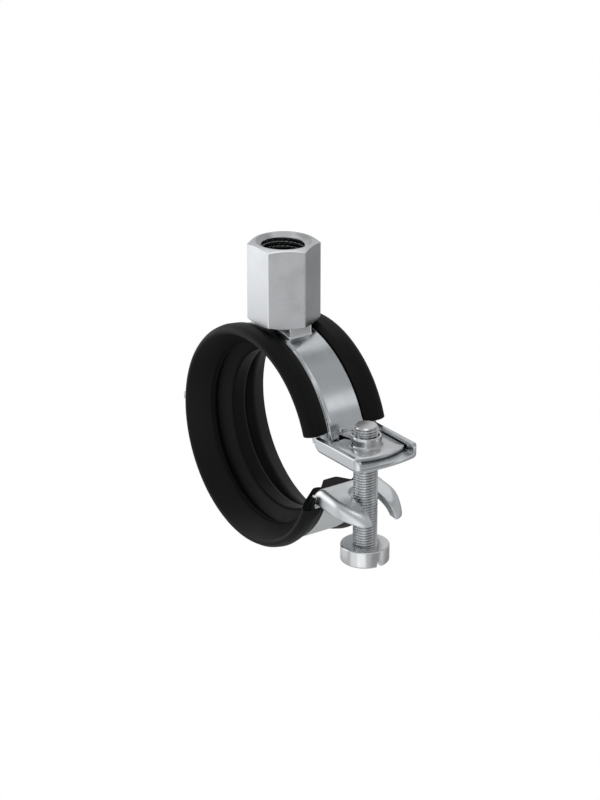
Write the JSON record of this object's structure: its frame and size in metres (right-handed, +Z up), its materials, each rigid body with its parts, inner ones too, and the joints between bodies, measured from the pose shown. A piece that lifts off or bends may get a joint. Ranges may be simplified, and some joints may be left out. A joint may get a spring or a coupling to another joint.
{
  "type": "hinged pipe clamp",
  "caption": "Hinged steel ring with a rubber liner that hangs a pipe from a threaded rod and closes with a tilting screw in a slotted fork.",
  "frame": {"origin": "On the axis of the pipe seat, at half the width of the ring.", "axes": "+Y runs along the pipe, away from the pictured side. +Z points up along the connection nut, the way the threaded rod leaves. +X points from the pipe's axis to the closing screw."},
  "size_m": [0.0641, 0.0196, 0.0644],
  "materials": {
    "strap_steel": "bright zinc plating over pressed sheet steel",
    "nut_steel": "bright zinc plating over turned hexagon steel",
    "plate_steel": "bright zinc plating over drawn sheet steel",
    "screw_steel": "bright zinc plating over rolled thread and headed steel",
    "liner_rubber": "smooth extruded rubber with a soft sheen"
  },
  "bodies": {
    "upper_half": {"upper_strap": "strap_steel", "connection_nut": "nut_steel", "rubber_liner": "liner_rubber"},
    "lower_half": {"lower_strap": "strap_steel"},
    "plate": {"threaded_plate": "plate_steel"},
    "screw": {"closing_screw": "screw_steel"}
  },
  "joints": [
    {"name": "plate_tilt", "type": "hinge", "parent": "upper_half", "child": "plate", "pos_m": [0.0219, 0, 0.0057], "axis": [0, -1, 0], "range_deg": [0, 35]},
    {"name": "screw_travel", "type": "slide", "parent": "plate", "child": "screw", "axis": [0, 0, 1], "range_m": [-0.003, 0.008]},
    {"name": "lower_half_hinge", "type": "hinge", "parent": "upper_half", "child": "lower_half", "pos_m": [-0.0244, 0, -0.0003], "axis": [0, -1, 0], "range_deg": [-3.3, 8.7], "deforming": ["rubber_liner"]}
  ],
  "couplings": [
    {"joint": "lower_half_hinge", "follows": "screw_travel", "rad_per_m": 18.9}
  ]
}
